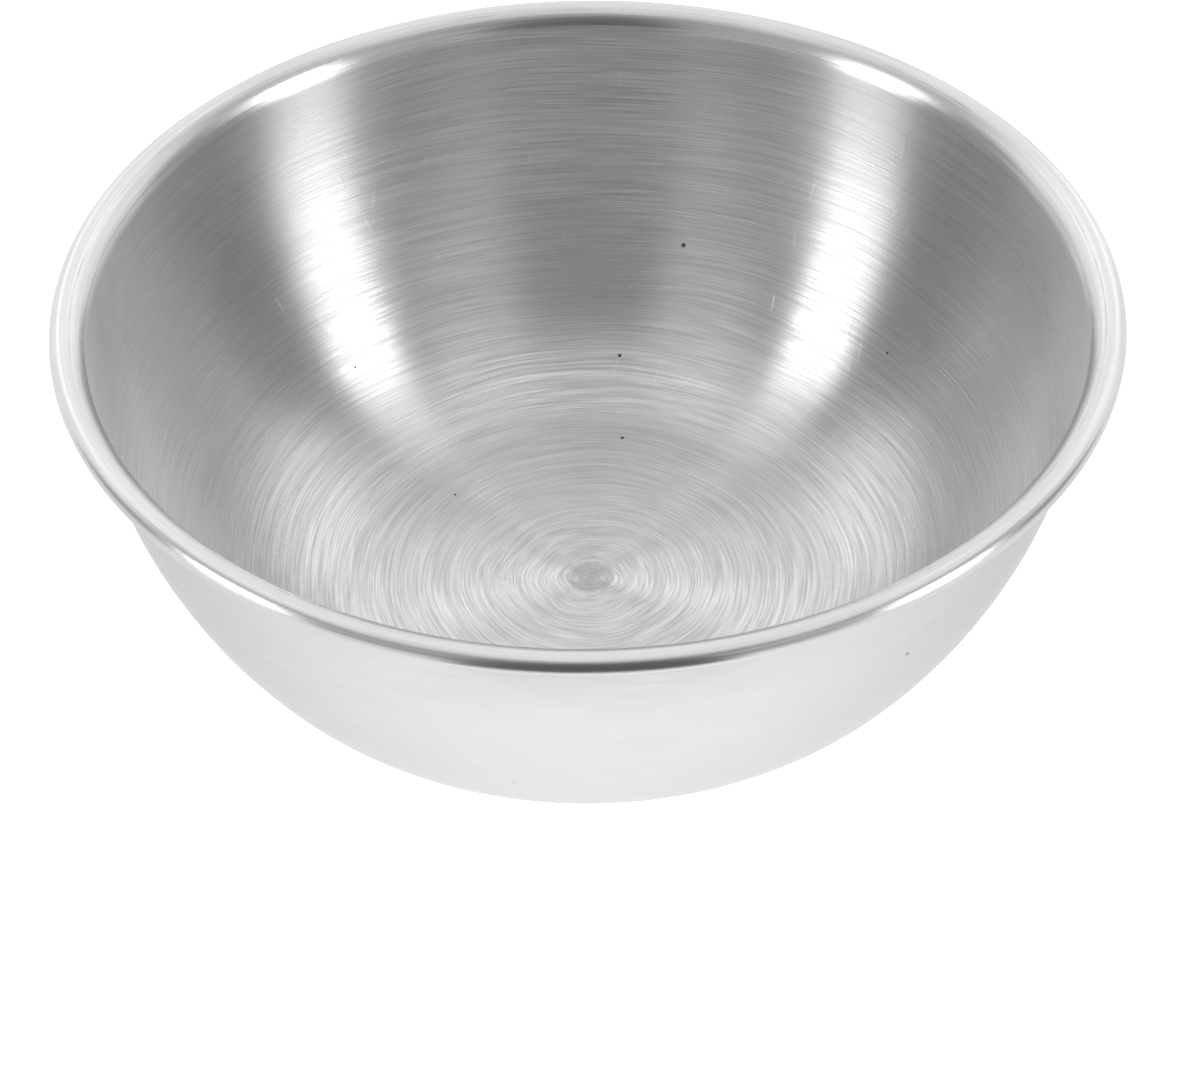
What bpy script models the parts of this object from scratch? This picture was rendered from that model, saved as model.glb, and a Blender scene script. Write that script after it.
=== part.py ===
"""Round steel ward bowl, formed from one flat disc of sheet.

The bowl has a flat base, a large turned-up foot, a wall that bows gently outwards,
and a rim that flares over the top and folds back under itself, so that the cut edge
of the sheet is tucked out of reach. It is one physical piece: nothing is welded,
riveted or hung on it, so it is one object here, with a true wall all the way round
and an open slit between the rim and its tucked edge.

Metres, +Z up. The origin is the centre of the base's underside.
"""
import math

import bpy
from mathutils import Vector

# Overall sizes
RIM_DIAMETER = 0.120
OVERALL_HEIGHT = 0.044
BASE_DIAMETER = 0.054       # flat part of the underside

# Sheet
SHEET = 0.00055

# Foot and wall
FOOT_RADIUS = 0.0233        # underside of the turn from the base up into the wall
FOOT_SHARE = 0.9            # most that the foot may be of the one that meets a straight wall
WALL_LEAN = math.radians(2.4)   # wall from the vertical, where it meets the rim

# Rim
FLARE_RADIUS = 0.0029       # top surface of the rim, where it turns outwards
RIM_DROOP = math.radians(6.0)  # how far the rim runs downhill before it folds back
HEM_GAP = 0.0009            # open space between the rim and its tucked edge
TUCK_TURN = math.radians(55.0)  # how far the tucked edge runs back under the rim

# Fineness of the turned shape
TURN_STEPS = 60
FOOT_SEGMENTS = 6
WALL_SEGMENTS = 6
FLARE_SEGMENTS = 7
FOLD_SEGMENTS = 6
TUCK_SEGMENTS = 3
POLE_MERGE = 0.00001

COLLECTION_NAME = "ward_bowl"
PIECE_NAME = "bowl"
QUARTER_TURN = math.pi / 2
HALF_TURN = math.pi

STEEL_COLOUR = (0.60, 0.60, 0.60, 1.0)
STEEL_ROUGHNESS = 0.32


def clear_scene():
    """Remove every object that the file opened with."""
    for old in list(bpy.data.objects):
        bpy.data.objects.remove(old, do_unlink=True)


def polar(centre, radius, angle):
    """Point at radius from centre, in the plane of the section (x outwards, y up)."""
    return centre + radius * Vector((math.cos(angle), math.sin(angle)))


def arc(centre, radius, start, end, segments):
    """Points after the first one, from start to end along a round stretch."""
    step = (end - start) / segments
    return [polar(centre, radius, start + step * i) for i in range(1, segments + 1)]


def section_path():
    """Middle of the sheet, from the centre of the base out to the tucked edge."""
    half = SHEET / 2

    # Rim: the flare turns about one centre, and the fold about another,
    # which sits on the flare's radius where the droop ends.
    flare = FLARE_RADIUS - half
    fold = (HEM_GAP + SHEET) / 2
    fold_angle = QUARTER_TURN - RIM_DROOP
    fold_offset = polar(Vector((0.0, 0.0)), flare - fold, fold_angle)
    flare_centre = Vector((
        RIM_DIAMETER / 2 - half - fold - fold_offset.x,
        OVERALL_HEIGHT - FLARE_RADIUS,
    ))
    fold_centre = flare_centre + fold_offset
    wall_top_angle = HALF_TURN - WALL_LEAN
    wall_top = polar(flare_centre, flare, wall_top_angle)

    # Foot: turns up from the edge of the flat base, and leaves the wall room to bow.
    base_edge = Vector((BASE_DIAMETER / 2, half))
    inwards = Vector((-math.cos(WALL_LEAN), math.sin(WALL_LEAN)))
    straight_wall_foot = inwards.dot(base_edge - wall_top) / (1.0 - math.sin(WALL_LEAN))
    foot = min(FOOT_RADIUS - half, FOOT_SHARE * straight_wall_foot)
    foot_centre = base_edge + Vector((0.0, foot))

    # Wall: one long arc that leaves the rim at its lean and runs tangent into the foot.
    span = wall_top - foot_centre
    wall = (span.length_squared - foot ** 2) / (-2.0 * (foot + inwards.dot(span)))
    wall_centre = wall_top + wall * inwards
    to_foot = foot_centre - wall_centre
    foot_top_angle = math.atan2(to_foot.y, to_foot.x)

    path = [Vector((0.0, half)), base_edge]
    path += arc(foot_centre, foot, -QUARTER_TURN, foot_top_angle, FOOT_SEGMENTS)
    path += arc(wall_centre, wall, foot_top_angle, -WALL_LEAN, WALL_SEGMENTS)
    path += arc(flare_centre, flare, wall_top_angle, fold_angle, FLARE_SEGMENTS)
    path += arc(fold_centre, fold, fold_angle, fold_angle - HALF_TURN, FOLD_SEGMENTS)
    path += arc(flare_centre, flare - 2 * fold, fold_angle, fold_angle + TUCK_TURN, TUCK_SEGMENTS)
    return path


def brushed_steel():
    """Neutral, satin stainless steel."""
    material = bpy.data.materials.new("brushed_steel")
    material.use_nodes = True
    shader = material.node_tree.nodes["Principled BSDF"]
    shader.inputs["Base Color"].default_value = STEEL_COLOUR
    shader.inputs["Metallic"].default_value = 1.0
    shader.inputs["Roughness"].default_value = STEEL_ROUGHNESS
    return material


def turned_shell(name, path, collection):
    """Sheet of even thickness, turned about Z from the middle line of its section."""
    top_down = list(reversed(path))
    corners = [(point.x, 0.0, point.y) for point in top_down]
    links = [(i, i + 1) for i in range(len(corners) - 1)]
    mesh = bpy.data.meshes.new(name)
    mesh.from_pydata(corners, links, [])
    shell = bpy.data.objects.new(name, mesh)
    collection.objects.link(shell)

    turn = shell.modifiers.new("turn", "SCREW")
    turn.axis = "Z"
    turn.angle = 2 * math.pi
    turn.steps = TURN_STEPS
    turn.render_steps = TURN_STEPS
    turn.use_merge_vertices = True
    turn.merge_threshold = POLE_MERGE
    turn.use_smooth_shade = True

    wall = shell.modifiers.new("sheet", "SOLIDIFY")
    wall.thickness = SHEET
    wall.offset = 0.0
    wall.use_even_offset = True
    return shell


def main():
    """Model the bowl in a collection of its own."""
    clear_scene()
    collection = bpy.data.collections.new(COLLECTION_NAME)
    bpy.context.scene.collection.children.link(collection)
    bowl = turned_shell(PIECE_NAME, section_path(), collection)
    bowl.data.materials.append(brushed_steel())


main()
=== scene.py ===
"""Round steel ward bowl on a pale studio floor.

The bowl is one disc of stainless steel, spun into a bowl whose rim flares over the top and
folds back under itself. It has three finishes: spin-brushed inside, turned smooth on the rim,
fine satin outside.
"""
import logging
import math
from dataclasses import dataclass, field
from enum import Enum
from typing import Optional, Sequence

import bpy
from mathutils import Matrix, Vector


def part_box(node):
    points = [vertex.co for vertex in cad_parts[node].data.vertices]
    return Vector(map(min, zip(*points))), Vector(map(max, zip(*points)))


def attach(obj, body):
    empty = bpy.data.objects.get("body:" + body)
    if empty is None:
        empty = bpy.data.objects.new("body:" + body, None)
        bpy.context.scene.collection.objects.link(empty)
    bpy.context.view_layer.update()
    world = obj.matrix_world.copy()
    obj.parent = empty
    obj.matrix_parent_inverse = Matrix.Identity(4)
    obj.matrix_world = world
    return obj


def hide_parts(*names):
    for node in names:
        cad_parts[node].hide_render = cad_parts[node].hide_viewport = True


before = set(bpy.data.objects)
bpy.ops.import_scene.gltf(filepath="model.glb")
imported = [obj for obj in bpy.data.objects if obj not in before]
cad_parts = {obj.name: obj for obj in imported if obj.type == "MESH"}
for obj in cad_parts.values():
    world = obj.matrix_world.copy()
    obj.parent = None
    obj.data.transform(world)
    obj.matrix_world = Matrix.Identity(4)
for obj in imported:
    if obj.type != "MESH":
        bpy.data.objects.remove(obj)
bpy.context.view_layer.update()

NODE = "bowl"
BODY = "root"
QUARTER_TURN = math.pi / 2
HALF_TURN = math.pi
FULL_TURN = 2 * math.pi
AXIS_RADIUS = 1e-5      # keeps the bearing defined on the bowl's axis itself
WHITE = (1.0, 1.0, 1.0, 1.0)
BLACK = (0.0, 0.0, 0.0, 1.0)
MIX_FACTOR, MIX_LOW, MIX_HIGH, MIX_RESULT = 0, 6, 7, 2      # colour sockets of a Mix node
COMPARE_A, COMPARE_B = 2, 3     # whole number sockets of a Compare node

log = logging.getLogger("ward_bowl")


class Face(Enum):
    """Which finish a stretch of the sheet's surface carries."""

    INSIDE = 0
    RIM = 1
    OUTSIDE = 2


# ---------------------------------------------------------------------------
# Node trees
# ---------------------------------------------------------------------------


class TreeBuilder:
    """Adds and links the nodes of one tree."""

    def __init__(self, tree: bpy.types.NodeTree) -> None:
        """Work on a tree.

        Args:
            tree: a shader or geometry node tree.
        """
        self.tree = tree

    def node(self, kind: str, **settings: object) -> bpy.types.Node:
        """Add a node.

        Args:
            kind: the node's type name.
            settings: attributes to set on it.

        Returns:
            The new node.
        """
        made = self.tree.nodes.new(kind)
        for name, value in settings.items():
            setattr(made, name, value)
        return made

    def feed(self, socket: bpy.types.NodeSocket, value: object) -> None:
        """Link a socket, or set its value.

        Args:
            socket: the input to feed.
            value: an output socket to link, or a plain value.
        """
        if isinstance(value, bpy.types.NodeSocket):
            self.tree.links.new(value, socket)
        else:
            socket.default_value = value

    def call(self, kind: str, inputs: dict, output: object = 0, **settings: object) -> bpy.types.NodeSocket:
        """Add a node, feed its inputs and take one output.

        Args:
            kind: the node's type name.
            inputs: socket name or index to value or output socket.
            output: name or index of the output wanted.
            settings: attributes to set on the node.

        Returns:
            The output socket.
        """
        made = self.node(kind, **settings)
        for key, value in inputs.items():
            self.feed(made.inputs[key], value)
        return made.outputs[output]

    def math(self, operation: str, a: object, b: object = None, *,
             clamp: bool = False) -> bpy.types.NodeSocket:
        """Add one step of arithmetic.

        Args:
            operation: the Math node's operation.
            a: first value or socket.
            b: second value or socket, if the operation has one.
            clamp: keep the result between 0 and 1.

        Returns:
            The result's socket.
        """
        inputs = {i: value for i, value in enumerate((a, b)) if value is not None}
        return self.call("ShaderNodeMath", inputs, operation=operation, use_clamp=clamp)

    def vector(self, x: object, y: object, z: object) -> bpy.types.NodeSocket:
        """Join three values into a vector."""
        return self.call("ShaderNodeCombineXYZ", {0: x, 1: y, 2: z})


class EffectGroup:
    """A shader node group for an effect that several finishes share."""

    def __init__(self, name: str, inputs: Sequence[tuple], outputs: Sequence[tuple]) -> None:
        """Make the group and its named sockets.

        Args:
            name: the group's name.
            inputs: (name, default) of each number that goes in.
            outputs: (name, socket type) of each result.
        """
        self.tree = bpy.data.node_groups.new(name, "ShaderNodeTree")
        for label, default in inputs:
            socket = self.tree.interface.new_socket(label, in_out="INPUT", socket_type="NodeSocketFloat")
            socket.default_value = default
        for label, kind in outputs:
            self.tree.interface.new_socket(label, in_out="OUTPUT", socket_type=kind)
        self.build = TreeBuilder(self.tree)
        self.given = self.build.node("NodeGroupInput").outputs
        self.result = self.build.node("NodeGroupOutput").inputs

    def place(self, builder: TreeBuilder, **values: float) -> bpy.types.bpy_prop_collection:
        """Put the group in a material with values of its own.

        Args:
            builder: the material's tree builder.
            values: input name, with _ for each space, to value.

        Returns:
            The group node's outputs.
        """
        made = builder.node("ShaderNodeGroup")
        made.node_tree = self.tree
        for name, value in values.items():
            made.inputs[name.replace("_", " ")].default_value = value
        return made.outputs


ALONG = "along"     # metres along the section, from the middle of the floor
ZONE = "zone"       # Face value of each face


def turned_coordinates(b: TreeBuilder) -> tuple:
    """Coordinates of a turned surface, without a seam.

    Args:
        b: the tree to add the nodes to.

    Returns:
        Cosine and sine of the bearing about the bowl's axis, and the distance along the section.
    """
    place = b.call("ShaderNodeTexCoord", {}, "Object")
    split = b.node("ShaderNodeSeparateXYZ")
    b.feed(split.inputs[0], place)
    x, y = split.outputs[0], split.outputs[1]
    flat = b.call("ShaderNodeCombineXYZ", {0: x, 1: y})
    length = b.call("ShaderNodeVectorMath", {0: flat}, "Value", operation="LENGTH")
    radius = b.math("MAXIMUM", length, AXIS_RADIUS)
    along = b.call("ShaderNodeAttribute", {}, "Fac", attribute_name=ALONG)
    return b.math("DIVIDE", x, radius), b.math("DIVIDE", y, radius), along


class SpinLines(EffectGroup):
    """Fine lines that run round the bowl, left by the abrasive while it spun."""

    SETS = ((1.0, 1.0), (0.28, 0.6))    # share of the lines and of the breaks in each set
    WEIGHTS = (0.78, 0.22)
    SEED_STEP = 7.3
    SWAY_SCALE = 1.3
    SWAYS_PER_METRE = 40.0      # along the section
    CALM_REACH = 0.045          # along the section, where the calmer middle of the floor ends
    CALM_SHARE = 0.3            # of the breaks and the wander, at the middle of the floor
    DETAIL = 2.2
    GRAIN = 0.6
    TONE_RANGE = (0.38, 0.62)   # of the height, from darkest to lightest

    def __init__(self) -> None:
        """Build the group: two sets of lines that wander and cross at a small angle."""
        super().__init__(
            "spin_lines",
            [("Lines per Metre", 3000.0), ("Breaks", 5.0), ("Wander", 0.0006), ("Seed", 0.0)],
            [("Height", "NodeSocketFloat"), ("Tone", "NodeSocketFloat")],
        )
        b, given = self.build, self.given
        cosine, sine, along = turned_coordinates(b)
        outwards = b.call("ShaderNodeMapRange", {"Value": along, "From Min": 0.0, "From Max": self.CALM_REACH,
                                                 "To Min": self.CALM_SHARE, "To Max": 1.0})
        wander = b.math("MULTIPLY", given["Wander"], outwards)
        sets = []
        for number, (share, hold) in enumerate(self.SETS):
            seed = b.math("ADD", given["Seed"], self.SEED_STEP * number)
            sway = b.call(
                "ShaderNodeTexNoise",
                {"Vector": b.vector(cosine, sine, b.math("MULTIPLY", along, self.SWAYS_PER_METRE)),
                 "W": seed, "Scale": self.SWAY_SCALE, "Detail": 1.0},
                noise_dimensions="4D",
            )
            shift = b.math("MULTIPLY", b.math("SUBTRACT", sway, 0.5), wander)
            across = b.math("MULTIPLY", b.math("ADD", along, shift),
                            b.math("MULTIPLY", given["Lines per Metre"], share))
            breaks = b.math("MULTIPLY", b.math("MULTIPLY", given["Breaks"], hold), outwards)
            ring = b.vector(b.math("MULTIPLY", cosine, breaks), b.math("MULTIPLY", sine, breaks), across)
            sets.append(b.call(
                "ShaderNodeTexNoise",
                {"Vector": ring, "W": seed, "Scale": 1.0, "Detail": self.DETAIL, "Roughness": self.GRAIN},
                noise_dimensions="4D",
            ))
        fine, broad = (b.math("MULTIPLY", part, weight) for part, weight in zip(sets, self.WEIGHTS))
        both = b.math("ADD", fine, broad)
        b.feed(self.result["Height"], both)
        b.feed(self.result["Tone"], b.call(
            "ShaderNodeMapRange",
            {"Value": both, "From Min": self.TONE_RANGE[0], "From Max": self.TONE_RANGE[1],
             "To Min": 0.0, "To Max": 1.0},
        ))


class Marks(EffectGroup):
    """Pits in the sheet and stray scratches from use."""

    SEED_SLANT = 1.7
    PIT_RARITY = 0.90           # share of the cells that hold no pit
    SMALLEST_PIT = 0.5          # share of the pit size
    SCRATCH_TURNS = (0.35, 1.9, 2.6)        # radians about the bowl's axis
    SCRATCH_STRETCH = (1.0, 24.0, 3.0)      # long one way, fine across
    SCRATCH_RANGE = (0.70, 0.74)            # of the noise, from none to full

    def __init__(self) -> None:
        """Build the group: rare small pits, and short scratches in any direction."""
        super().__init__(
            "marks",
            [("Pits per Metre", 220.0), ("Pit Size", 0.05), ("Scratch Scale", 60.0), ("Seed", 0.0)],
            [("Pits", "NodeSocketFloat"), ("Scratches", "NodeSocketFloat")],
        )
        b, given = self.build, self.given
        place = b.call("ShaderNodeTexCoord", {}, "Object")
        offset = b.vector(given["Seed"], b.math("MULTIPLY", given["Seed"], self.SEED_SLANT), 0.0)
        cells = b.call("ShaderNodeVectorMath", {0: place, 1: given["Pits per Metre"]}, operation="MULTIPLY")
        for_pits = b.node("ShaderNodeTexVoronoi", feature="F1")
        moved = b.call("ShaderNodeVectorMath", {0: cells, 1: offset}, operation="ADD")
        b.feed(for_pits.inputs["Vector"], moved)
        b.feed(for_pits.inputs["Scale"], 1.0)
        chance = b.node("ShaderNodeSeparateColor")
        b.feed(chance.inputs[0], for_pits.outputs["Color"])
        chosen = b.math("GREATER_THAN", chance.outputs[0], self.PIT_RARITY)
        size = b.math("MULTIPLY", given["Pit Size"], b.math("ADD", chance.outputs[1], self.SMALLEST_PIT))
        dot = b.math("LESS_THAN", for_pits.outputs["Distance"], size)
        b.feed(self.result["Pits"], b.math("MULTIPLY", chosen, dot))

        strength = None
        for turn in self.SCRATCH_TURNS:
            turned = b.call("ShaderNodeVectorRotate", {"Vector": place, "Angle": turn},
                            rotation_type="Z_AXIS")
            long_way = b.call("ShaderNodeVectorMath", {0: turned, 1: self.SCRATCH_STRETCH},
                              operation="MULTIPLY")
            scaled = b.call("ShaderNodeVectorMath", {0: long_way, 1: given["Scratch Scale"]},
                            operation="MULTIPLY")
            lines = b.call(
                "ShaderNodeTexNoise", {"Vector": scaled, "W": given["Seed"], "Scale": 1.0, "Detail": 1.0},
                noise_dimensions="4D",
            )
            peak = b.call(
                "ShaderNodeMapRange",
                {"Value": lines, "From Min": self.SCRATCH_RANGE[0], "From Max": self.SCRATCH_RANGE[1],
                 "To Min": 0.0, "To Max": 1.0},
            )
            strength = peak if strength is None else b.math("MAXIMUM", strength, peak)
        b.feed(self.result["Scratches"], strength)


class Clouds(EffectGroup):
    """Slow, soft unevenness of a finish, as wiping and handling leave it."""

    DETAIL = 4.0

    def __init__(self) -> None:
        """Build the group: one cloudy value that leans round the bowl."""
        super().__init__(
            "clouds",
            [("Size", 60.0), ("Lean", 3.0), ("Seed", 0.0)],
            [("Cloud", "NodeSocketFloat")],
        )
        b, given = self.build, self.given
        cosine, sine, along = turned_coordinates(b)
        where = b.vector(b.math("MULTIPLY", cosine, given["Lean"]), b.math("MULTIPLY", sine, given["Lean"]),
                         b.math("MULTIPLY", along, given["Size"]))
        b.feed(self.result["Cloud"], b.call(
            "ShaderNodeTexNoise", {"Vector": where, "W": given["Seed"], "Scale": 1.0, "Detail": self.DETAIL},
            noise_dimensions="4D",
        ))


# ---------------------------------------------------------------------------
# Finishes
# ---------------------------------------------------------------------------


@dataclass(frozen=True)
class Effects:
    """The effect groups, built once for all finishes."""

    lines: SpinLines
    marks: Marks
    clouds: Clouds


@dataclass(frozen=True)
class SteelFinish:
    """One finish of the steel: its colour, its gloss and what marks it."""

    name: str
    light: tuple = (0.74, 0.74, 0.74)
    dark: tuple = (0.60, 0.60, 0.60)
    pit: tuple = (0.12, 0.12, 0.12)
    edge_tint: float = 1.0          # how bright the steel stays where it is seen edge on
    roughness: float = 0.26
    roughness_swing: float = 0.08
    anisotropy: float = 0.7
    lines_per_metre: float = 3000.0
    breaks: float = 5.0
    wander: float = 0.002
    line_depth: float = 0.00002
    line_strength: float = 0.3
    line_tone: float = 0.5
    cloud_size: float = 60.0
    cloud_lean: float = 3.0
    cloud_tone: float = 0.3
    pits_per_metre: float = 240.0
    pit_size: float = 0.045
    scratch_scale: float = 60.0
    scratch_tone: float = 0.2
    centre_radius: float = 0.0      # dull spot where the tool ended, none if 0
    centre_tone: float = 0.78
    centre_fade: tuple = (0.75, 1.2)        # where the spot starts to fade and is gone, in its radii
    scored_tone: float = 0.62
    scored_width: float = 0.00012
    scored_fade: tuple = (0.8, 1.4)         # where a line starts to fade and is gone, in its widths
    scored_sway: float = 2.0                # how far the line wavers, in its widths
    scored_breaks: float = 9.0
    scored_detail: float = 3.0
    highlight_turn: float = 0.25            # share of a turn, so highlights run across the lines
    seed: float = 0.0

    def material(self, effects: Effects, scored: Sequence[float] = ()) -> bpy.types.Material:
        """Make the finish.

        Args:
            effects: the shared effect groups.
            scored: distances along the section of the fine lines scored right round.

        Returns:
            A new material.
        """
        made = bpy.data.materials.new(self.name)
        made.use_nodes = True
        b = TreeBuilder(made.node_tree)
        shader = made.node_tree.nodes["Principled BSDF"]
        lines = effects.lines.place(
            b, Lines_per_Metre=self.lines_per_metre, Breaks=self.breaks, Wander=self.wander, Seed=self.seed)
        marks = effects.marks.place(
            b, Pits_per_Metre=self.pits_per_metre, Pit_Size=self.pit_size,
            Scratch_Scale=self.scratch_scale, Seed=self.seed)
        cloud = effects.clouds.place(b, Size=self.cloud_size, Lean=self.cloud_lean, Seed=self.seed)["Cloud"]

        tone = b.math("ADD", b.math("MULTIPLY", lines["Tone"], self.line_tone),
                      b.math("MULTIPLY", cloud, self.cloud_tone))
        tone = b.math("ADD", tone, (1.0 - self.line_tone - self.cloud_tone) / 2)
        tone = b.math("ADD", tone, b.math("MULTIPLY", marks["Scratches"], self.scratch_tone), clamp=True)
        steel = self.blend(b, tone, (*self.dark, 1.0), (*self.light, 1.0))
        worn = self.worn(b, scored)
        if worn is not None:
            steel = self.blend(b, worn, BLACK, steel)
        b.feed(shader.inputs["Base Color"], self.blend(b, marks["Pits"], steel, (*self.pit, 1.0)))

        swing = b.math("MULTIPLY", b.math("SUBTRACT", cloud, 0.5), self.roughness_swing)
        line_swing = b.math("MULTIPLY", b.math("SUBTRACT", 0.5, lines["Tone"]), self.roughness_swing)
        b.feed(shader.inputs["Roughness"], b.math("ADD", b.math("ADD", swing, line_swing), self.roughness))

        height = b.math("SUBTRACT", lines["Height"], marks["Pits"])
        height = b.math("SUBTRACT", height, b.math("MULTIPLY", marks["Scratches"], self.scratch_tone))
        b.feed(shader.inputs["Normal"], b.call("ShaderNodeBump", {
            "Strength": self.line_strength, "Distance": self.line_depth, "Height": height,
        }))
        b.feed(shader.inputs["Tangent"], b.call("ShaderNodeTangent", {}, direction_type="RADIAL", axis="Z"))
        shader.inputs["Metallic"].default_value = 1.0
        shader.inputs["Specular Tint"].default_value = (*(self.edge_tint,) * 3, 1.0)
        shader.inputs["Anisotropic"].default_value = self.anisotropy
        shader.inputs["Anisotropic Rotation"].default_value = self.highlight_turn
        return made

    def worn(self, b: TreeBuilder, scored: Sequence[float]) -> Optional[bpy.types.NodeSocket]:
        """Share of the steel's colour that its scored lines and its dull centre leave.

        Args:
            b: the material's tree builder.
            scored: distances along the section of the scored lines.

        Returns:
            The share's socket, or None where the finish has no such marks.
        """
        cosine, sine, along = turned_coordinates(b)
        kept = None
        for distance in scored:
            sway = b.call(
                "ShaderNodeTexNoise",
                {"Vector": b.vector(cosine, sine, distance * self.lines_per_metre),
                 "Scale": self.scored_breaks, "Detail": self.scored_detail},
            )
            off = b.math("ABSOLUTE", b.math("SUBTRACT", along, distance))
            faded = b.math("ADD", off, b.math("MULTIPLY", sway, self.scored_sway * self.scored_width))
            start, end = (share * self.scored_width for share in self.scored_fade)
            kept = self.step(b, kept, faded, start, end, self.scored_tone)
        if self.centre_radius:
            start, end = (share * self.centre_radius for share in self.centre_fade)
            kept = self.step(b, kept, along, start, end, self.centre_tone)
        return kept

    @staticmethod
    def step(b: TreeBuilder, kept: Optional[bpy.types.NodeSocket], value: bpy.types.NodeSocket,
             start: float, end: float, low: float) -> bpy.types.NodeSocket:
        """Dim a share near a line or a spot.

        Args:
            b: the material's tree builder.
            kept: the share so far, or None.
            value: distance from the mark.
            start: distance where the mark begins to fade.
            end: distance where it is gone.
            low: share that the mark itself leaves.

        Returns:
            The new share.
        """
        share = b.call("ShaderNodeMapRange", {"Value": value, "From Min": start, "From Max": end,
                                              "To Min": low, "To Max": 1.0}, interpolation_type="SMOOTHSTEP")
        return share if kept is None else b.math("MULTIPLY", kept, share)

    @staticmethod
    def blend(b: TreeBuilder, factor: object, low: object, high: object) -> bpy.types.NodeSocket:
        """Mix two colours.

        Args:
            b: the material's tree builder.
            factor: 0 for low, 1 for high.
            low: colour or socket.
            high: colour or socket.

        Returns:
            The mixed colour.
        """
        mix = b.node("ShaderNodeMix", data_type="RGBA")
        b.feed(mix.inputs[MIX_FACTOR], factor)
        b.feed(mix.inputs[MIX_LOW], low)
        b.feed(mix.inputs[MIX_HIGH], high)
        return mix.outputs[MIX_RESULT]


BRUSHED_INSIDE = SteelFinish(
    "spin_brushed_steel", light=(0.86, 0.86, 0.86), dark=(0.50, 0.50, 0.50), roughness=0.32,
    anisotropy=1.0, lines_per_metre=5400.0, breaks=4.0, wander=0.004, line_strength=0.6,
    line_depth=0.00008, scratch_tone=0.08, centre_radius=0.0027, seed=1.0,
)
TURNED_RIM = SteelFinish(
    "turned_rim_steel", light=(0.66, 0.66, 0.66), dark=(0.50, 0.50, 0.50), roughness=0.30,
    anisotropy=0.7, lines_per_metre=5400.0, breaks=2.4, wander=0.0006, line_strength=0.6,
    line_depth=0.00004, scratch_tone=0.08, seed=5.0,
)
SATIN_OUTSIDE = SteelFinish(
    "satin_steel", light=(0.64, 0.64, 0.64), dark=(0.56, 0.56, 0.56), edge_tint=0.80, roughness=0.34,
    anisotropy=0.3, lines_per_metre=2600.0, breaks=6.0, wander=0.003, line_strength=0.15,
    line_tone=0.15, cloud_tone=0.5, scratch_tone=0.05, seed=9.0,
)


# ---------------------------------------------------------------------------
# The bowl
# ---------------------------------------------------------------------------


@dataclass(frozen=True)
class Arc:
    """A round stretch of the sheet's middle line, seen in section."""

    centre: Vector
    radius: float
    start: float
    end: float
    top_is_outer: bool      # the sheet's top face lies farther from the centre
    segments: int
    back_segments: int
    rim: bool = False

    def points(self, half: float, top: bool) -> list:
        """Points along one face of the sheet, after the first one.

        Args:
            half: half the sheet's thickness.
            top: the sheet's top face, or else its underside.

        Returns:
            Points from start to end.
        """
        radius = self.radius + (half if self.top_is_outer == top else -half)
        count = self.segments if top else self.back_segments
        step = (self.end - self.start) / count
        return [polar(self.centre, radius, self.start + step * i) for i in range(1, count + 1)]


def polar(centre: Vector, radius: float, angle: float) -> Vector:
    """Point at a radius and angle from a centre, in the plane of the section."""
    return centre + radius * Vector((math.cos(angle), math.sin(angle)))


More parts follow.
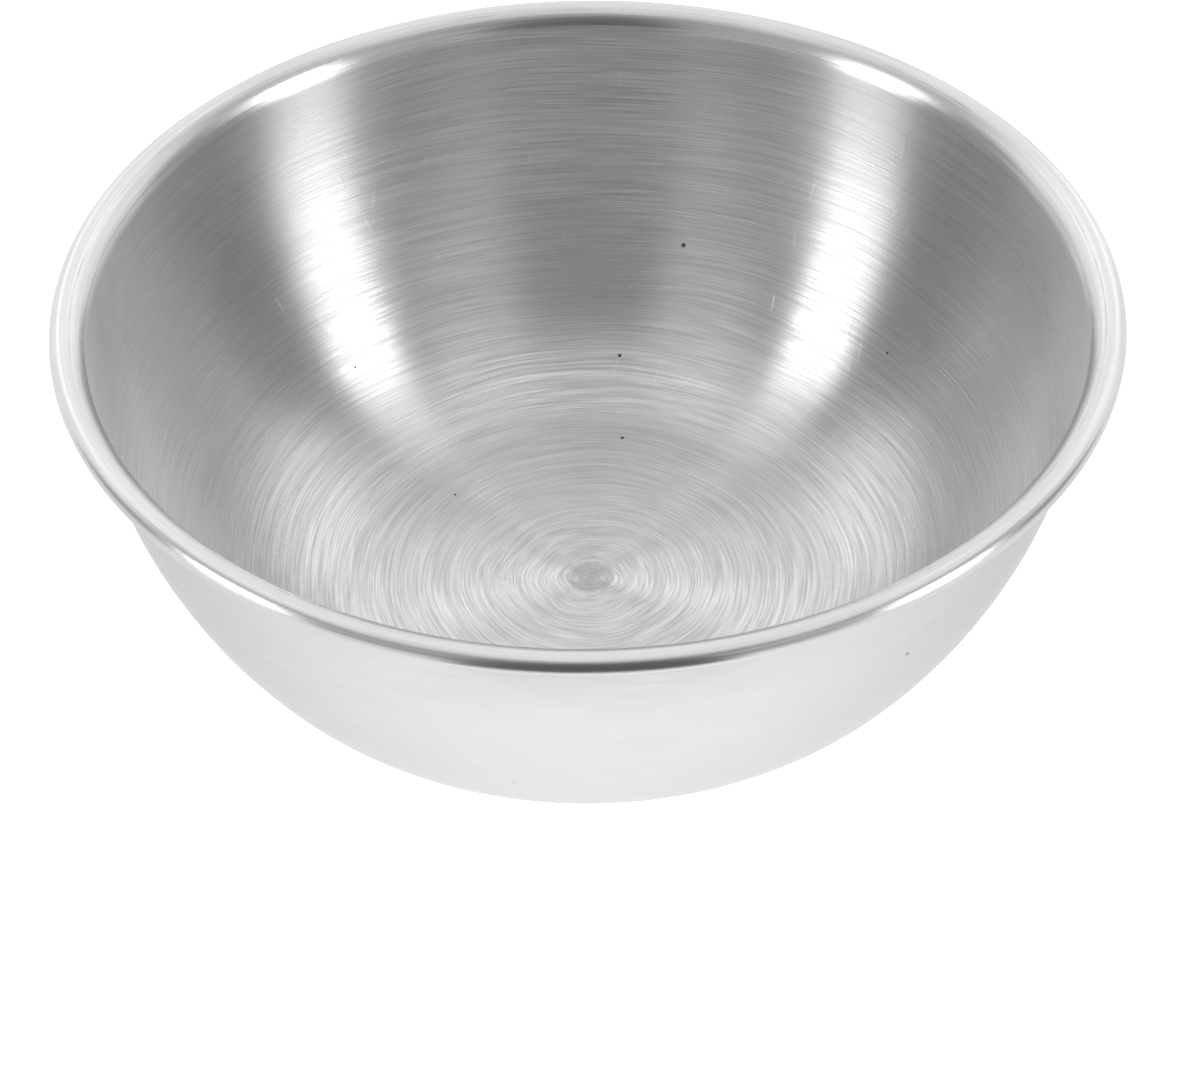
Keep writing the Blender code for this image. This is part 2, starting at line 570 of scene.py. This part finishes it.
@dataclass
class BowlSection:
    """Closed outline of the sheet from the floor's middle, over the rim, back to the base's middle."""

    rim_diameter: float
    height: float
    base_diameter: float = 0.054
    sheet: float = 0.00055
    foot_radius: float = 0.0233
    foot_share: float = 0.9         # most that the foot may be of the one that meets a straight wall
    wall_lean: float = math.radians(2.4)
    flare_radius: float = 0.0029
    rim_droop: float = math.radians(6.0)
    hem_gap: float = 0.0009
    tuck_turn: float = math.radians(55.0)
    brushed_to: float = math.radians(160.0)         # on the flare, where the inside finish ends
    rim_line_angles: tuple = (math.radians(159.0), math.radians(113.0))
    floor_segments: int = 14
    base_segments: int = 6
    foot_segments: tuple = (24, 16)         # on the sheet's top face, and on its underside
    wall_segments: tuple = (26, 16)
    flare_segments: tuple = (7, 4)
    crest_segments: tuple = (12, 7)
    fold_segments: tuple = (14, 8)
    tuck_segments: tuple = (5, 4)
    outline: list = field(default_factory=list)
    faces: list = field(default_factory=list)

    def arcs(self) -> list:
        """Round stretches of the middle line, from the foot to the tucked edge.

        Returns:
            The arcs in order.
        """
        half = self.sheet / 2
        flare = self.flare_radius - half
        fold = (self.hem_gap + self.sheet) / 2
        fold_angle = QUARTER_TURN - self.rim_droop
        fold_offset = polar(Vector((0.0, 0.0)), flare - fold, fold_angle)
        flare_centre = Vector((
            self.rim_diameter / 2 - half - fold - fold_offset.x,
            self.height - self.flare_radius,
        ))
        fold_centre = flare_centre + fold_offset
        wall_top_angle = HALF_TURN - self.wall_lean
        wall_top = polar(flare_centre, flare, wall_top_angle)

        base_edge = Vector((self.base_diameter / 2, half))
        inwards = Vector((-math.cos(self.wall_lean), math.sin(self.wall_lean)))
        straight_wall_foot = inwards.dot(base_edge - wall_top) / (1.0 - math.sin(self.wall_lean))
        foot = min(self.foot_radius - half, self.foot_share * straight_wall_foot)
        foot_centre = base_edge + Vector((0.0, foot))
        span = wall_top - foot_centre
        wall = (span.length_squared - foot ** 2) / (-2.0 * (foot + inwards.dot(span)))
        wall_centre = wall_top + wall * inwards
        to_foot = foot_centre - wall_centre
        foot_top = math.atan2(to_foot.y, to_foot.x)
        return [
            Arc(foot_centre, foot, -QUARTER_TURN, foot_top, False, *self.foot_segments),
            Arc(wall_centre, wall, foot_top, -self.wall_lean, False, *self.wall_segments),
            Arc(flare_centre, flare, wall_top_angle, self.brushed_to, True, *self.flare_segments),
            Arc(flare_centre, flare, self.brushed_to, fold_angle, True, *self.crest_segments, True),
            Arc(fold_centre, fold, fold_angle, fold_angle - HALF_TURN, True, *self.fold_segments, True),
            Arc(flare_centre, flare - 2 * fold, fold_angle, fold_angle + self.tuck_turn, False,
                *self.tuck_segments, True),
        ]

    def trace(self) -> None:
        """Work out the outline and the finish of each stretch of it."""
        half = self.sheet / 2
        arcs = self.arcs()
        edge = self.base_diameter / 2
        for i in range(self.floor_segments + 1):
            self.add(Vector((edge * i / self.floor_segments, self.sheet)), Face.INSIDE)
        for arc in arcs:
            for point in arc.points(half, top=True):
                self.add(point, Face.RIM if arc.rim else Face.INSIDE)
        backs = []
        for arc in arcs:
            start = polar(arc.centre, arc.radius + (-half if arc.top_is_outer else half), arc.start)
            backs.append([start] + arc.points(half, top=False))
        for arc, back in zip(reversed(arcs), reversed(backs)):
            stretch = list(reversed(back))
            if arc is not arcs[-1]:
                stretch = stretch[1:]
            for point in stretch:
                self.add(point, Face.RIM if arc.rim else Face.OUTSIDE)
        for i in range(1, self.base_segments + 1):
            self.add(Vector((edge * (1 - i / self.base_segments), 0.0)), Face.OUTSIDE)

    def add(self, point: Vector, face: Face) -> None:
        """Take the outline on to a point, with the finish of the stretch that starts there."""
        self.outline.append(point)
        self.faces.append(face.value)

    def rim_lines(self) -> list:
        """Where the fine lines are scored round the top of the rim.

        Returns:
            Distances along the section.
        """
        arcs = self.arcs()
        half = self.sheet / 2
        reach = self.base_diameter / 2
        for arc in arcs[:2]:
            reach += (arc.end - arc.start) * (arc.radius - half)
        flare = arcs[2]
        return [reach + (flare.start - angle) * (flare.radius + half) for angle in self.rim_line_angles]

    def mesh(self) -> bpy.types.Mesh:
        """The outline as a line of edges, with its distances and finishes as attributes.

        Returns:
            A mesh of edges in the XZ plane.
        """
        corners = [(p.x, 0.0, p.y) for p in self.outline]
        mesh = bpy.data.meshes.new("bowl_section")
        mesh.from_pydata(corners, [(i, i + 1) for i in range(len(corners) - 1)], [])
        along = mesh.attributes.new(ALONG, "FLOAT", "POINT")
        zone = mesh.attributes.new(ZONE, "INT", "POINT")
        gone = 0.0
        for i, point in enumerate(self.outline):
            gone += (point - self.outline[i - 1]).length if i else 0.0
            along.data[i].value = gone
            zone.data[i].value = self.faces[i]
        return mesh


class TurnedShellTree:
    """Geometry Nodes tree that turns a section about Z, with the faint ripple that spinning leaves."""

    SEAM_DISTANCE = 1e-7        # closes the mesh where it meets itself
    CALM_RADIUS = 0.01          # from the axis, inside which the ripple dies away
    INPUTS = (
        ("Turn Steps", "NodeSocketInt", 360),
        ("Ripple Height", "NodeSocketFloat", 0.00001),
        ("Ripples per Metre", "NodeSocketFloat", 150.0),
        ("Seed", "NodeSocketFloat", 3.0),
        ("Inside Finish", "NodeSocketMaterial", None),
        ("Rim Finish", "NodeSocketMaterial", None),
        ("Outside Finish", "NodeSocketMaterial", None),
    )

    def __init__(self) -> None:
        """Build the tree."""
        self.tree = bpy.data.node_groups.new("turned_shell", "GeometryNodeTree")
        face = self.tree.interface
        face.new_socket("Section", in_out="INPUT", socket_type="NodeSocketGeometry")
        for label, kind, default in self.INPUTS:
            socket = face.new_socket(label, in_out="INPUT", socket_type=kind)
            if default is not None:
                socket.default_value = default
        face.new_socket("Shell", in_out="OUTPUT", socket_type="NodeSocketGeometry")
        self.b = TreeBuilder(self.tree)
        self.given = self.b.node("NodeGroupInput").outputs
        self.b.feed(self.b.node("NodeGroupOutput").inputs[0], self.finish(self.ripple(self.turn())))

    def sample(self, name: Optional[str], kind: str, index: object) -> bpy.types.NodeSocket:
        """Read a value from the section.

        Args:
            name: attribute to read, or None for the position.
            kind: data type of the value.
            index: which point of the section.

        Returns:
            The value's socket.
        """
        b = self.b
        if name is None:
            value = b.call("GeometryNodeInputPosition", {})
        else:
            value = b.call("GeometryNodeInputNamedAttribute", {"Name": name}, "Attribute", data_type=kind)
        return b.call(
            "GeometryNodeSampleIndex", {"Geometry": self.given["Section"], "Value": value, "Index": index},
            "Value", data_type=kind, domain="POINT",
        )

    def turn(self) -> bpy.types.NodeSocket:
        """Lay a grid of section points by turn steps, and roll it round the axis.

        Returns:
            The rolled mesh, closed at its seam and poles.
        """
        b, steps = self.b, self.given["Turn Steps"]
        points = b.call("GeometryNodeAttributeDomainSize", {0: self.given["Section"]}, "Point Count",
                        component="MESH")
        across = b.math("ADD", steps, 1)
        grid = b.call("GeometryNodeMeshGrid", {"Vertices X": points, "Vertices Y": across}, "Mesh")
        index = b.call("GeometryNodeInputIndex", {})
        point = b.math("FLOOR", b.math("DIVIDE", b.math("ADD", index, 0.5), across))
        step = b.math("SUBTRACT", index, b.math("MULTIPLY", point, across))
        angle = b.math("MULTIPLY", b.math("DIVIDE", step, steps), FULL_TURN)
        split = b.node("ShaderNodeSeparateXYZ")
        b.feed(split.inputs[0], self.sample(None, "FLOAT_VECTOR", point))
        radius, height = split.outputs[0], split.outputs[2]
        place = b.vector(b.math("MULTIPLY", radius, b.math("COSINE", angle)),
                         b.math("MULTIPLY", radius, b.math("SINE", angle)), height)
        rolled = b.call("GeometryNodeSetPosition", {"Geometry": grid, "Position": place})
        marked = b.call(
            "GeometryNodeStoreNamedAttribute",
            {"Geometry": rolled, "Name": ALONG, "Value": self.sample(ALONG, "FLOAT", point)},
            data_type="FLOAT", domain="POINT",
        )
        strip = b.math("FLOOR", b.math("DIVIDE", b.math("ADD", index, 0.5), steps))
        zoned = b.call(
            "GeometryNodeStoreNamedAttribute",
            {"Geometry": marked, "Name": ZONE, "Value": self.sample(ZONE, "INT", strip)},
            data_type="INT", domain="FACE",
        )
        return b.call("GeometryNodeMergeByDistance", {"Geometry": zoned, "Distance": self.SEAM_DISTANCE})

    def ripple(self, shell: bpy.types.NodeSocket) -> bpy.types.NodeSocket:
        """Move the sheet's faces by a few micrometres, mostly in rings.

        Args:
            shell: the turned mesh.

        Returns:
            The rippled mesh.
        """
        b = self.b
        split = b.node("ShaderNodeSeparateXYZ")
        b.feed(split.inputs[0], b.call("GeometryNodeInputPosition", {}))
        x, y = split.outputs[0], split.outputs[1]
        square = b.math("ADD", b.math("MULTIPLY", x, x), b.math("MULTIPLY", y, y))
        radius = b.math("MAXIMUM", b.math("SQRT", square), AXIS_RADIUS)
        along = b.call("GeometryNodeInputNamedAttribute", {"Name": ALONG}, "Attribute", data_type="FLOAT")
        where = b.vector(b.math("DIVIDE", x, radius), b.math("DIVIDE", y, radius),
                         b.math("MULTIPLY", along, self.given["Ripples per Metre"]))
        wave = b.call(
            "ShaderNodeTexNoise", {"Vector": where, "W": self.given["Seed"], "Scale": 1.0, "Detail": 1.0},
            noise_dimensions="4D",
        )
        amount = b.math("MULTIPLY", b.math("SUBTRACT", wave, 0.5), self.given["Ripple Height"])
        fade = b.math("MINIMUM", b.math("DIVIDE", radius, self.CALM_RADIUS), 1.0)
        push = b.call(
            "ShaderNodeVectorMath",
            {0: b.call("GeometryNodeInputNormal", {}), "Scale": b.math("MULTIPLY", amount, fade)},
            operation="SCALE",
        )
        return b.call("GeometryNodeSetPosition", {"Geometry": shell, "Offset": push})

    def finish(self, shell: bpy.types.NodeSocket) -> bpy.types.NodeSocket:
        """Shade the mesh smooth and give each zone its finish.

        Args:
            shell: the rippled mesh.

        Returns:
            The finished geometry.
        """
        b = self.b
        smooth = b.call("GeometryNodeSetShadeSmooth", {"Geometry": shell, "Shade Smooth": True},
                        domain="FACE")
        made = b.call("GeometryNodeRealizeInstances", {"Geometry": smooth})
        made = b.call("GeometryNodeSetMaterial", {"Geometry": made, "Material": self.given["Inside Finish"]})
        zone = b.call("GeometryNodeInputNamedAttribute", {"Name": ZONE}, "Attribute", data_type="INT")
        for face, label in ((Face.RIM, "Rim Finish"), (Face.OUTSIDE, "Outside Finish")):
            here = b.call("FunctionNodeCompare", {COMPARE_A: zone, COMPARE_B: face.value},
                          data_type="INT", operation="EQUAL")
            made = b.call("GeometryNodeSetMaterial",
                          {"Geometry": made, "Selection": here, "Material": self.given[label]})
        return made

    def put_on(self, host: bpy.types.Object, values: dict) -> None:
        """Add the tree to an object as a modifier, with its inputs set.

        Args:
            host: the object that holds the section.
            values: input name to value.
        """
        modifier = host.modifiers.new("turned_shell", "NODES")
        modifier.node_group = self.tree
        for item in self.tree.interface.items_tree:
            if item.item_type == "SOCKET" and item.in_out == "INPUT" and item.name in values:
                modifier[item.identifier] = values[item.name]


@dataclass
class Bowl:
    """The whole bowl: one formed sheet with three finishes."""

    turn_steps: int = 480
    ripple_height: float = 0.00002
    ripples_per_metre: float = 160.0
    ripple_seed: float = 3.0
    crease: float = math.radians(50.0)

    def finishes(self, section: BowlSection) -> dict:
        """Make the three finishes.

        Args:
            section: the bowl's section.

        Returns:
            Input name of the turned shell tree to material.
        """
        effects = Effects(SpinLines(), Marks(), Clouds())
        return {
            "Inside Finish": BRUSHED_INSIDE.material(effects),
            "Rim Finish": TURNED_RIM.material(effects, section.rim_lines()),
            "Outside Finish": SATIN_OUTSIDE.material(effects),
        }

    def build(self) -> bpy.types.Object:
        """Turn the bowl from its section and dress it.

        Returns:
            The finished bowl, as a plain mesh at the origin.
        """
        low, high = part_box(NODE)
        section = BowlSection(rim_diameter=high[0] - low[0], height=high[2] - low[2])
        section.trace()
        host = bpy.data.objects.new("bowl_host", section.mesh())
        bpy.context.scene.collection.objects.link(host)
        materials = self.finishes(section)
        TurnedShellTree().put_on(host, {
            "Turn Steps": self.turn_steps, "Ripple Height": self.ripple_height,
            "Ripples per Metre": self.ripples_per_metre, "Seed": self.ripple_seed, **materials,
        })
        turned = host.evaluated_get(bpy.context.evaluated_depsgraph_get())
        mesh = bpy.data.meshes.new_from_object(turned)
        bpy.data.objects.remove(host, do_unlink=True)
        mesh.name = "formed_bowl"
        self.dress(mesh, list(materials.values()))
        mesh.set_sharp_from_angle(angle=self.crease)
        bowl = bpy.data.objects.new("formed_bowl", mesh)
        bpy.context.scene.collection.objects.link(bowl)
        return bowl

    @staticmethod
    def dress(mesh: bpy.types.Mesh, materials: list) -> None:
        """Keep one material slot for each finish, in the order of the zones.

        Args:
            mesh: the turned mesh, whose faces hold their zone.
            materials: the finishes, in the order of Face.
        """
        mesh.materials.clear()
        for material in materials:
            mesh.materials.append(material)
        zones = [0] * len(mesh.polygons)
        mesh.attributes[ZONE].data.foreach_get("value", zones)
        mesh.polygons.foreach_set("material_index", zones)

    def place(self) -> bpy.types.Object:
        """Build the bowl and tell the frame what it stands for.

        Returns:
            The finished bowl.
        """
        bowl = self.build()
        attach(bowl, BODY)
        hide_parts(NODE)
        log.info("%s: %d faces, %s", bowl.name, len(bowl.data.polygons),
                 ", ".join(m.name for m in bowl.data.materials))
        return bowl


# ---------------------------------------------------------------------------
# The studio
# ---------------------------------------------------------------------------


@dataclass(frozen=True)
class SoftLight:
    """A square or oblong soft light that faces the bowl."""

    name: str
    bearing: float          # degrees from the camera's side, anticlockwise seen from above
    elevation: float        # degrees above the floor
    wide: float             # degrees it spans across, seen from the bowl
    tall: float             # degrees it spans upwards
    brightness: float       # 1 shows white in a perfect mirror
    lean: float = 0.0       # degrees that its top leans round, away from the camera's side
    distance: float = 1.0
    target: tuple = (0.0, 0.0, 0.02)

    def place(self) -> bpy.types.Object:
        """Make the light.

        Returns:
            The light object, unseen by the camera.
        """
        data = bpy.data.lights.new(self.name, "AREA")
        data.shape = "RECTANGLE"
        data.size = 2 * self.distance * math.tan(math.radians(self.wide / 2))
        data.size_y = 2 * self.distance * math.tan(math.radians(self.tall / 2))
        data.energy = self.brightness * math.pi * data.size * data.size_y
        made = bpy.data.objects.new(self.name, data)
        bpy.context.scene.collection.objects.link(made)
        bearing, elevation = math.radians(self.bearing), math.radians(self.elevation)
        away = Vector((math.sin(bearing) * math.cos(elevation), -math.cos(bearing) * math.cos(elevation),
                       math.sin(elevation)))
        made.location = Vector(self.target) + away * self.distance
        made.rotation_euler = away.to_track_quat("Z", "Y").to_euler()
        made.rotation_euler.rotate_axis("Z", -math.radians(self.lean))
        made.visible_camera = False
        return made


@dataclass
class Studio:
    """Lit pale floor, soft lights, a dark flag on the camera's side, and the camera."""

    world_level: float = 0.38
    floor_half: float = 6.0
    floor_drop: float = 0.00005     # keeps the floor clear of the ripple in the bowl's base
    floor_colour: tuple = (0.60, 0.60, 0.60, 1.0)
    floor_gloss: float = 0.1
    matt: float = 0.9               # roughness of the paper and the card
    floor_glow: float = 0.55
    painted_pool_glow: float = 0.50         # extra glow of a painted pool of light on the floor in front of the bowl, the floor's own emission and no lamp
    pool_centre: tuple = (0.0, -0.055, 0.0)
    pool_radius: float = 0.10
    lights: tuple = (
        SoftLight("overhead_softbox", 180.0, 80.0, 50.0, 40.0, 0.85),
        SoftLight("back_softbox", 180.0, 31.0, 44.0, 56.0, 0.95),
        SoftLight("left_back_softbox", -134.0, 25.0, 46.0, 48.0, 0.90),
        SoftLight("right_back_softbox", 134.0, 25.0, 46.0, 48.0, 0.90),
        SoftLight("left_softbox", -70.5, 22.0, 16.0, 44.0, 4.6, lean=-21.0),
        SoftLight("right_softbox", 69.0, 22.0, 16.0, 44.0, 4.9, lean=21.0),
        SoftLight("left_front_softbox", -38.0, 36.0, 24.0, 26.0, 0.35),
        SoftLight("right_front_softbox", 38.0, 36.0, 24.0, 26.0, 0.35),
    )
    flag_near: float = 0.102        # from the bowl's axis to the card's edge on the floor
    flag_reach: float = 0.34        # from the bowl's axis to where the card turns up
    flag_top: float = 0.95
    flag_spread: float = 22.0       # degrees to either side
    flag_lift: float = 0.001
    flag_columns: int = 24
    flag_colour: tuple = (0.10, 0.10, 0.10, 1.0)
    camera_distance: float = 0.378
    camera_elevation: float = 37.9
    camera_lens: float = 100.9
    camera_sensor: float = 36.0
    camera_range: tuple = (0.01, 100.0)
    camera_yaw: float = 0.209
    camera_pitch: float = 4.145
    camera_roll: float = 0.648
    rim_level: float = 0.043

    def floor(self) -> None:
        """Lay the floor, which glows, brighter in a painted pool of light in front of the bowl."""
        mesh = bpy.data.meshes.new("studio_floor")
        h, z = self.floor_half, -self.floor_drop
        mesh.from_pydata([(-h, -h, z), (h, -h, z), (h, h, z), (-h, h, z)], [], [(0, 1, 2, 3)])
        floor = bpy.data.objects.new("studio_floor", mesh)
        bpy.context.scene.collection.objects.link(floor)
        paper = bpy.data.materials.new("studio_paper")
        paper.use_nodes = True
        shader = paper.node_tree.nodes["Principled BSDF"]
        shader.inputs["Base Color"].default_value = self.floor_colour
        shader.inputs["Roughness"].default_value = self.matt
        shader.inputs["Specular IOR Level"].default_value = self.floor_gloss
        shader.inputs["Emission Color"].default_value = WHITE
        b = TreeBuilder(paper.node_tree)
        # painted pool of light: the floor's emission rises towards a spot in front of the bowl
        place = b.call("ShaderNodeTexCoord", {}, "Object")
        off = b.call("ShaderNodeVectorMath", {0: place, 1: self.pool_centre}, "Value", operation="DISTANCE")
        pool = b.call("ShaderNodeMapRange", {"Value": off, "From Min": 0.0, "From Max": self.pool_radius,
                                             "To Min": self.painted_pool_glow, "To Max": 0.0},
                      interpolation_type="SMOOTHSTEP")
        b.feed(shader.inputs["Emission Strength"], b.math("ADD", pool, self.floor_glow))
        mesh.materials.append(paper)

    def flag(self) -> None:
        """Stand a dark card behind the camera, and lay one on the floor before it."""
        near = [(self.flag_near, self.flag_lift), (self.flag_reach, self.flag_lift)]
        upright = [(self.flag_reach, self.flag_lift), (self.flag_reach, self.flag_top)]
        laid = self.card("dark_table_card", near)
        laid.visible_shadow = False
        self.card("dark_wall_card", upright)

    def card(self, name: str, edges: Sequence[tuple]) -> bpy.types.Object:
        """Make a dark curved card round the bowl's axis, seen only in reflections.

        Args:
            name: the card's name.
            edges: distance from the axis and height of the near and the far edge.

        Returns:
            The card.
        """
        spread = math.radians(self.flag_spread)
        corners = []
        for i in range(self.flag_columns + 1):
            bearing = spread * (2 * i / self.flag_columns - 1)
            for away, height in edges:
                corners.append((away * math.sin(bearing), -away * math.cos(bearing), height))
        quads = [(2 * i, 2 * i + 2, 2 * i + 3, 2 * i + 1) for i in range(self.flag_columns)]
        mesh = bpy.data.meshes.new(name)
        mesh.from_pydata(corners, [], quads)
        made = bpy.data.objects.new(name, mesh)
        bpy.context.scene.collection.objects.link(made)
        cloth = bpy.data.materials.new(name + "_cloth")
        cloth.use_nodes = True
        shader = cloth.node_tree.nodes["Principled BSDF"]
        shader.inputs["Base Color"].default_value = self.flag_colour
        shader.inputs["Roughness"].default_value = self.matt
        mesh.materials.append(cloth)
        made.visible_camera = False
        made.visible_diffuse = False
        return made

    def surround(self) -> None:
        """Light the room evenly."""
        world = bpy.data.worlds.new("studio_room")
        world.use_nodes = True
        background = world.node_tree.nodes["Background"]
        background.inputs["Color"].default_value = WHITE
        background.inputs["Strength"].default_value = self.world_level
        bpy.context.scene.world = world

    def camera(self) -> None:
        """Place the camera in front of the bowl, looking down into it."""
        data = bpy.data.cameras.new("studio_camera")
        data.lens = self.camera_lens
        data.sensor_width = self.camera_sensor
        made = bpy.data.objects.new("studio_camera", data)
        bpy.context.scene.collection.objects.link(made)
        elevation, yaw = math.radians(self.camera_elevation), math.radians(self.camera_yaw)
        down = math.radians(self.camera_elevation + self.camera_pitch)
        made.location = (0.0, -self.camera_distance * math.cos(elevation),
                         self.rim_level + self.camera_distance * math.sin(elevation))
        ahead = Vector((math.sin(yaw) * math.cos(down), math.cos(yaw) * math.cos(down), -math.sin(down)))
        turn = ahead.to_track_quat("-Z", "Y").to_matrix().to_4x4()
        made.rotation_euler = turn.to_euler()
        made.rotation_euler.rotate_axis("Z", -math.radians(self.camera_roll))
        data.clip_start, data.clip_end = self.camera_range
        bpy.context.scene.camera = made

    def set_up(self) -> None:
        """Build the whole studio."""
        self.floor()
        self.flag()
        self.surround()
        for light in self.lights:
            light.place()
        self.camera()
        bpy.context.scene.view_settings.view_transform = "Standard"
        log.info("studio: %d lights", len(self.lights))


def main() -> None:
    """Build the bowl and the studio round it."""
    logging.basicConfig(level=logging.INFO, format="%(name)s: %(message)s")
    Studio().set_up()
    Bowl().place()


if __name__ == "__main__":
    main()
